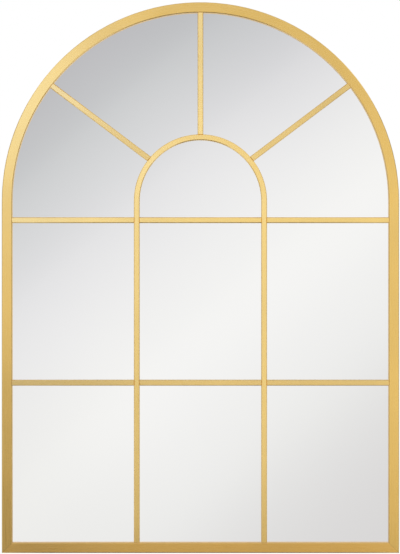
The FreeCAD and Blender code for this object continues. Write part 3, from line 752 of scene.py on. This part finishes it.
# Its levels, at shares of its wave along the diagonal
SWEEP_LEVELS = (
    (0.00, colour(0.43, 0.44, 0.46)),
    (0.05, colour(0.52, 0.52, 0.54)),
    (0.15, colour(0.65, 0.66, 0.67)),
    (0.30, colour(0.83, 0.83, 0.84)),
    (0.55, colour(0.96, 0.96, 0.95)),
    (0.70, colour(0.95, 0.95, 0.94)),
    (0.85, colour(0.87, 0.87, 0.86)),
    (1.00, colour(0.73, 0.72, 0.72)),
)
# Soft spots as (x, z, radius, tint), first on the sweep, then on the white cards that the metal shows; they paint
# lighter and darker patches into these reflections, on the front card a painted highlight at the gold's upper left
# and painted shade at its lower left
SWEEP_SPOTS = (
    (0.30, 1.05, 0.80, colour(0.88, 0.88, 0.89)),
    (-0.75, -0.85, 0.80, colour(0.94, 0.94, 0.93)),
)
CARD_SPOTS = (
    (-1.05, 0.85, 0.75, colour(2.0, 3.1, 7.2)),
    (0.70, 0.95, 0.70, colour(0.45, 0.45, 0.50)),
    (0.05, 1.35, 0.75, colour(0.60, 0.60, 0.60)),
    (-1.05, -1.10, 1.35, colour(0.00, 0.00, 0.00)),
    (0.40, -1.25, 0.95, colour(0.35, 0.25, 0.15)),
    (-0.75, -0.95, 0.60, colour(0.55, 0.35, 0.35)),
)
REAR_CARD_SPOTS = (
    (-1.10, 0.95, 1.10, colour(0.42, 0.42, 0.44)),
    (1.30, -0.50, 1.20, colour(0.30, 0.30, 0.32)),
    (-0.90, -1.20, 1.20, colour(0.45, 0.44, 0.42)),
    (0.70, 1.10, 0.90, colour(1.25, 1.25, 1.28)),
)
# The cards: name, place in front of or behind the wall plane, and spots; the front one clears the sweep
CARD_HALF = 3.4
CARD_LEVEL = colour(1.07, 1.06, 1.05)
CARDS = (
    ("front_card", -3.2, CARD_SPOTS),
    ("rear_card", 3.3, REAR_CARD_SPOTS),
)
# Flags round the mirror, glowing sheets which paint lighter and darker reflections on the edges of the gold, the
# lower one a dark painted shade:
# name, place as (x, z) from the middle, half size and level
FLAGS = (
    ("upper_flag", (0, 1.9), 2.0, colour(0.75, 0.73, 0.70)),
    ("lower_flag", (0, -0.58), 0.42, colour(0.13, 0.10, 0.07)),
    ("left_flag", (-1.9, 0), 1.6, colour(0.62, 0.60, 0.57)),
    ("right_flag", (1.9, 0), 1.6, colour(0.52, 0.50, 0.47)),
)
# Lamps: name, place, size and power
LAMPS = (
    ("key", (-1.7, -2.4, 2.6), 1.6, 30.0),
    ("fill", (2.2, -2.2, 0.9), 1.8, 12.0),
    ("rear_key", (1.6, 2.6, 2.2), 1.6, 26.0),
    ("rear_fill", (-2.0, 2.0, 0.6), 1.6, 10.0),
)


def set_world():
    """White to the eye and to reflections, and a plain level of light on dull surfaces."""
    world = bpy.data.worlds.new("studio")
    bpy.context.scene.world = world
    world.use_nodes = True
    graph = Graph(world.node_tree)
    path = graph.add("LightPath")
    seen = path.outputs["Is Camera Ray"]
    for ray in ("Is Glossy Ray", "Is Transmission Ray"):
        seen = graph.math("MAXIMUM", seen, path.outputs[ray])
    strength = graph.spread(seen, SKY_LEVEL, 1.0)
    sky = graph.add("Background", {"Color": colour(1.0, 1.0, 1.0), "Strength": strength})
    graph.add("OutputWorld", {"Surface": sky.outputs[0]})


def add_floor():
    """A plain pale floor well below the mirror, fading out into the white and clear from underneath."""
    disc = bmesh.new()
    bmesh.ops.create_circle(disc, cap_ends=True, segments=FLOOR_SIDES, radius=FLOOR_RADIUS)
    mesh = bpy.data.meshes.new("floor")
    disc.to_mesh(mesh)
    disc.free()
    floor = add_object("floor", mesh)
    floor.location.z = -FLOOR_DROP
    material, graph = new_material("floor")
    pale = graph.add("BsdfDiffuse", {"Color": FLOOR_TONE})
    clear = graph.add("BsdfTransparent")
    start, end = (FLOOR_RADIUS * share for share in FLOOR_FADE)
    fade = graph.spread(graph.length(graph.place()), 0.0, 1.0, start, end, smooth=True)
    hidden = graph.math("MAXIMUM", fade, graph.add("NewGeometry").outputs["Backfacing"])
    blend = graph.add("MixShader", {0: hidden, 1: pale.outputs[0], 2: clear.outputs[0]})
    graph.add("OutputMaterial", {"Surface": blend.outputs[0]})
    mesh.materials.append(material)


def add_sheet(name, half, profile):
    """A stage sheet that only reflections show: a strip along X over a profile of (y, z) points."""
    sheet = bmesh.new()
    rows = [[sheet.verts.new((side * half, y, z)) for side in (-1, 1)] for y, z in profile]
    for lower, upper in zip(rows, rows[1:]):
        sheet.faces.new((*lower, *reversed(upper)))
    mesh = bpy.data.meshes.new(name)
    sheet.to_mesh(mesh)
    sheet.free()
    piece = add_object(name, mesh)
    for ray in ("camera", "diffuse", "shadow", "transmission"):
        setattr(piece, f"visible_{ray}", False)
    material, graph = new_material(name)
    material.cycles.emission_sampling = "NONE"
    mesh.materials.append(material)
    return piece, graph


def in_glass(graph):
    """1 for the sharp rays off the glass, 0 for the soft ones off the metal."""
    return graph.add("LightPath").outputs["Is Singular Ray"]


def in_metal(graph):
    return graph.math("SUBTRACT", 1.0, in_glass(graph))


def glow_where(graph, tone, *shares):
    """Ends a sheet's tree: it glows in its tone by the product of the shares, and lets the rest through."""
    shown = 1.0
    for share in shares:
        shown = graph.math("MULTIPLY", share, shown)
    glow = graph.add("Emission", {"Color": tone})
    clear = graph.add("BsdfTransparent")
    blend = graph.add("MixShader", {0: shown, 1: clear.outputs[0], 2: glow.outputs[0]})
    graph.add("OutputMaterial", {"Surface": blend.outputs[0]})


def soft_spots(graph, tone, x, z, spots):
    """Tints a tone in round soft spots."""
    for spot_x, spot_z, radius, tint in spots:
        away = graph.vector(graph.math("SUBTRACT", x, spot_x), 0.0, graph.math("SUBTRACT", z, spot_z))
        share = graph.spread(graph.length(away), 1.0, 0.0, 0.0, radius, smooth=True)
        tone = graph.mix(share, tone, tint, "MULTIPLY")
    return tone


def fade_out(graph, x, z, half):
    """1 over the middle of a sheet, falling to 0 at its edges."""
    far = graph.math("MAXIMUM", graph.math("ABSOLUTE", x), graph.math("ABSOLUTE", z))
    start, end = (half * share for share in SHEET_FADE)
    return graph.spread(far, 1.0, 0.0, start, end, smooth=True)


def sweep_profile():
    """Down the hanging part, round the bend and along the floor to the wall plane, as (y, z)."""
    low = SWEEP_LIFT - FLOOR_DROP - MIDDLE
    profile = [(0, SWEEP_HALF), (0, low + SWEEP_BEND)]
    for step in range(1, ARC_STEPS + 1):
        angle = math.radians(90 * step / ARC_STEPS)
        profile.append((SWEEP_BEND * (1 - math.cos(angle)), low + SWEEP_BEND * (1 - math.sin(angle))))
    profile.append((SWEEP_DISTANCE, low))
    return profile


def add_sweep():
    """The grey sweep behind the camera, a glowing sheet whose diagonal greys only the glass shows, as its painted
    reflection.
    """
    sweep, graph = add_sheet("grey_sweep", SWEEP_HALF, sweep_profile())
    sweep.location = (0, -SWEEP_DISTANCE, MIDDLE)
    x, y, z = graph.place_parts()
    run = graph.math("SUBTRACT", z, y)
    falling = graph.math("MULTIPLY", run, -math.sin(SWEEP_FALL))
    across = graph.math("MULTIPLY_ADD", x, math.cos(SWEEP_FALL), falling)
    turn = graph.math("MULTIPLY", graph.math("SUBTRACT", across, SWEEP_START), math.pi / SWEEP_RUN)
    wave = graph.math("MULTIPLY_ADD", graph.math("COSINE", turn), -0.5, 0.5)
    ramp = graph.add("ValToRGB", {0: wave})
    ramp.color_ramp.interpolation = "CARDINAL"
    stops = ramp.color_ramp.elements
    while len(stops) < len(SWEEP_LEVELS):
        stops.new(0.5)
    for stop, (share, level) in zip(stops, SWEEP_LEVELS):
        stop.position = share
        stop.color = level
    tone = soft_spots(graph, ramp.outputs[0], x, run, SWEEP_SPOTS)
    glow_where(graph, tone, fade_out(graph, x, z, SWEEP_HALF), in_glass(graph))


def add_cards():
    """White cards in front and behind, whose soft light and shade only the metal shows."""
    for name, distance, spots in CARDS:
        card, graph = add_sheet(name, CARD_HALF, ((0, -CARD_HALF), (0, CARD_HALF)))
        card.location = (0, distance, MIDDLE)
        x, _, z = graph.place_parts()
        tone = soft_spots(graph, CARD_LEVEL, x, z, spots)
        glow_where(graph, tone, fade_out(graph, x, z, CARD_HALF), in_metal(graph))


def add_flags():
    """Glowing sheets above, below and beside the mirror, facing it, shown by the metal and not by the glass, which
    paint light and shade along the gold's edges.
    """
    for name, (right, up), half, level in FLAGS:
        flag, graph = add_sheet(name, half, ((-half, 0), (half, 0)))
        flag.location = (right, 0, MIDDLE + up)
        flag.rotation_euler.y = math.pi / 2 if right else 0
        x, y, _ = graph.place_parts()
        glow_where(graph, level, fade_out(graph, x, y, half), in_metal(graph))


def add_lamps():
    """Large soft lamps aimed at the mirror's middle, which glass and metal don't show."""
    for name, place, size, power in LAMPS:
        data = bpy.data.lights.new(name, "AREA")
        data.shape = "DISK"
        data.size = size
        data.energy = power
        lamp = add_object(name, data)
        lamp.location = place
        lamp.rotation_euler = (Vector((0, 0, MIDDLE)) - Vector(place)).to_track_quat("-Z", "Y").to_euler()
        lamp.visible_camera = False
        lamp.visible_glossy = False


def add_camera():
    """A camera straight in front, framed as the photograph is."""
    pixel = HEIGHT / (BOTTOM_EDGE_PIXEL - TOP_EDGE_PIXEL)
    right = ((LEFT_EDGE_PIXEL + RIGHT_EDGE_PIXEL) / 2 - IMAGE_WIDTH / 2) * pixel
    down = ((TOP_EDGE_PIXEL + BOTTOM_EDGE_PIXEL) / 2 - IMAGE_HEIGHT / 2) * pixel
    data = bpy.data.cameras.new("camera")
    data.sensor_fit = "VERTICAL"
    data.sensor_height = SENSOR_HEIGHT
    data.lens = SENSOR_HEIGHT * CAMERA_DISTANCE / (IMAGE_HEIGHT * pixel)
    camera = add_object("camera", data)
    camera.location = (-right, FRONT - CAMERA_DISTANCE, MIDDLE + down)
    camera.rotation_euler = (math.pi / 2, 0, 0)
    bpy.context.scene.camera = camera


dress()
set_world()
add_floor()
add_sweep()
add_cards()
add_flags()
add_lamps()
add_camera()
bpy.context.scene.view_settings.view_transform = "Standard"
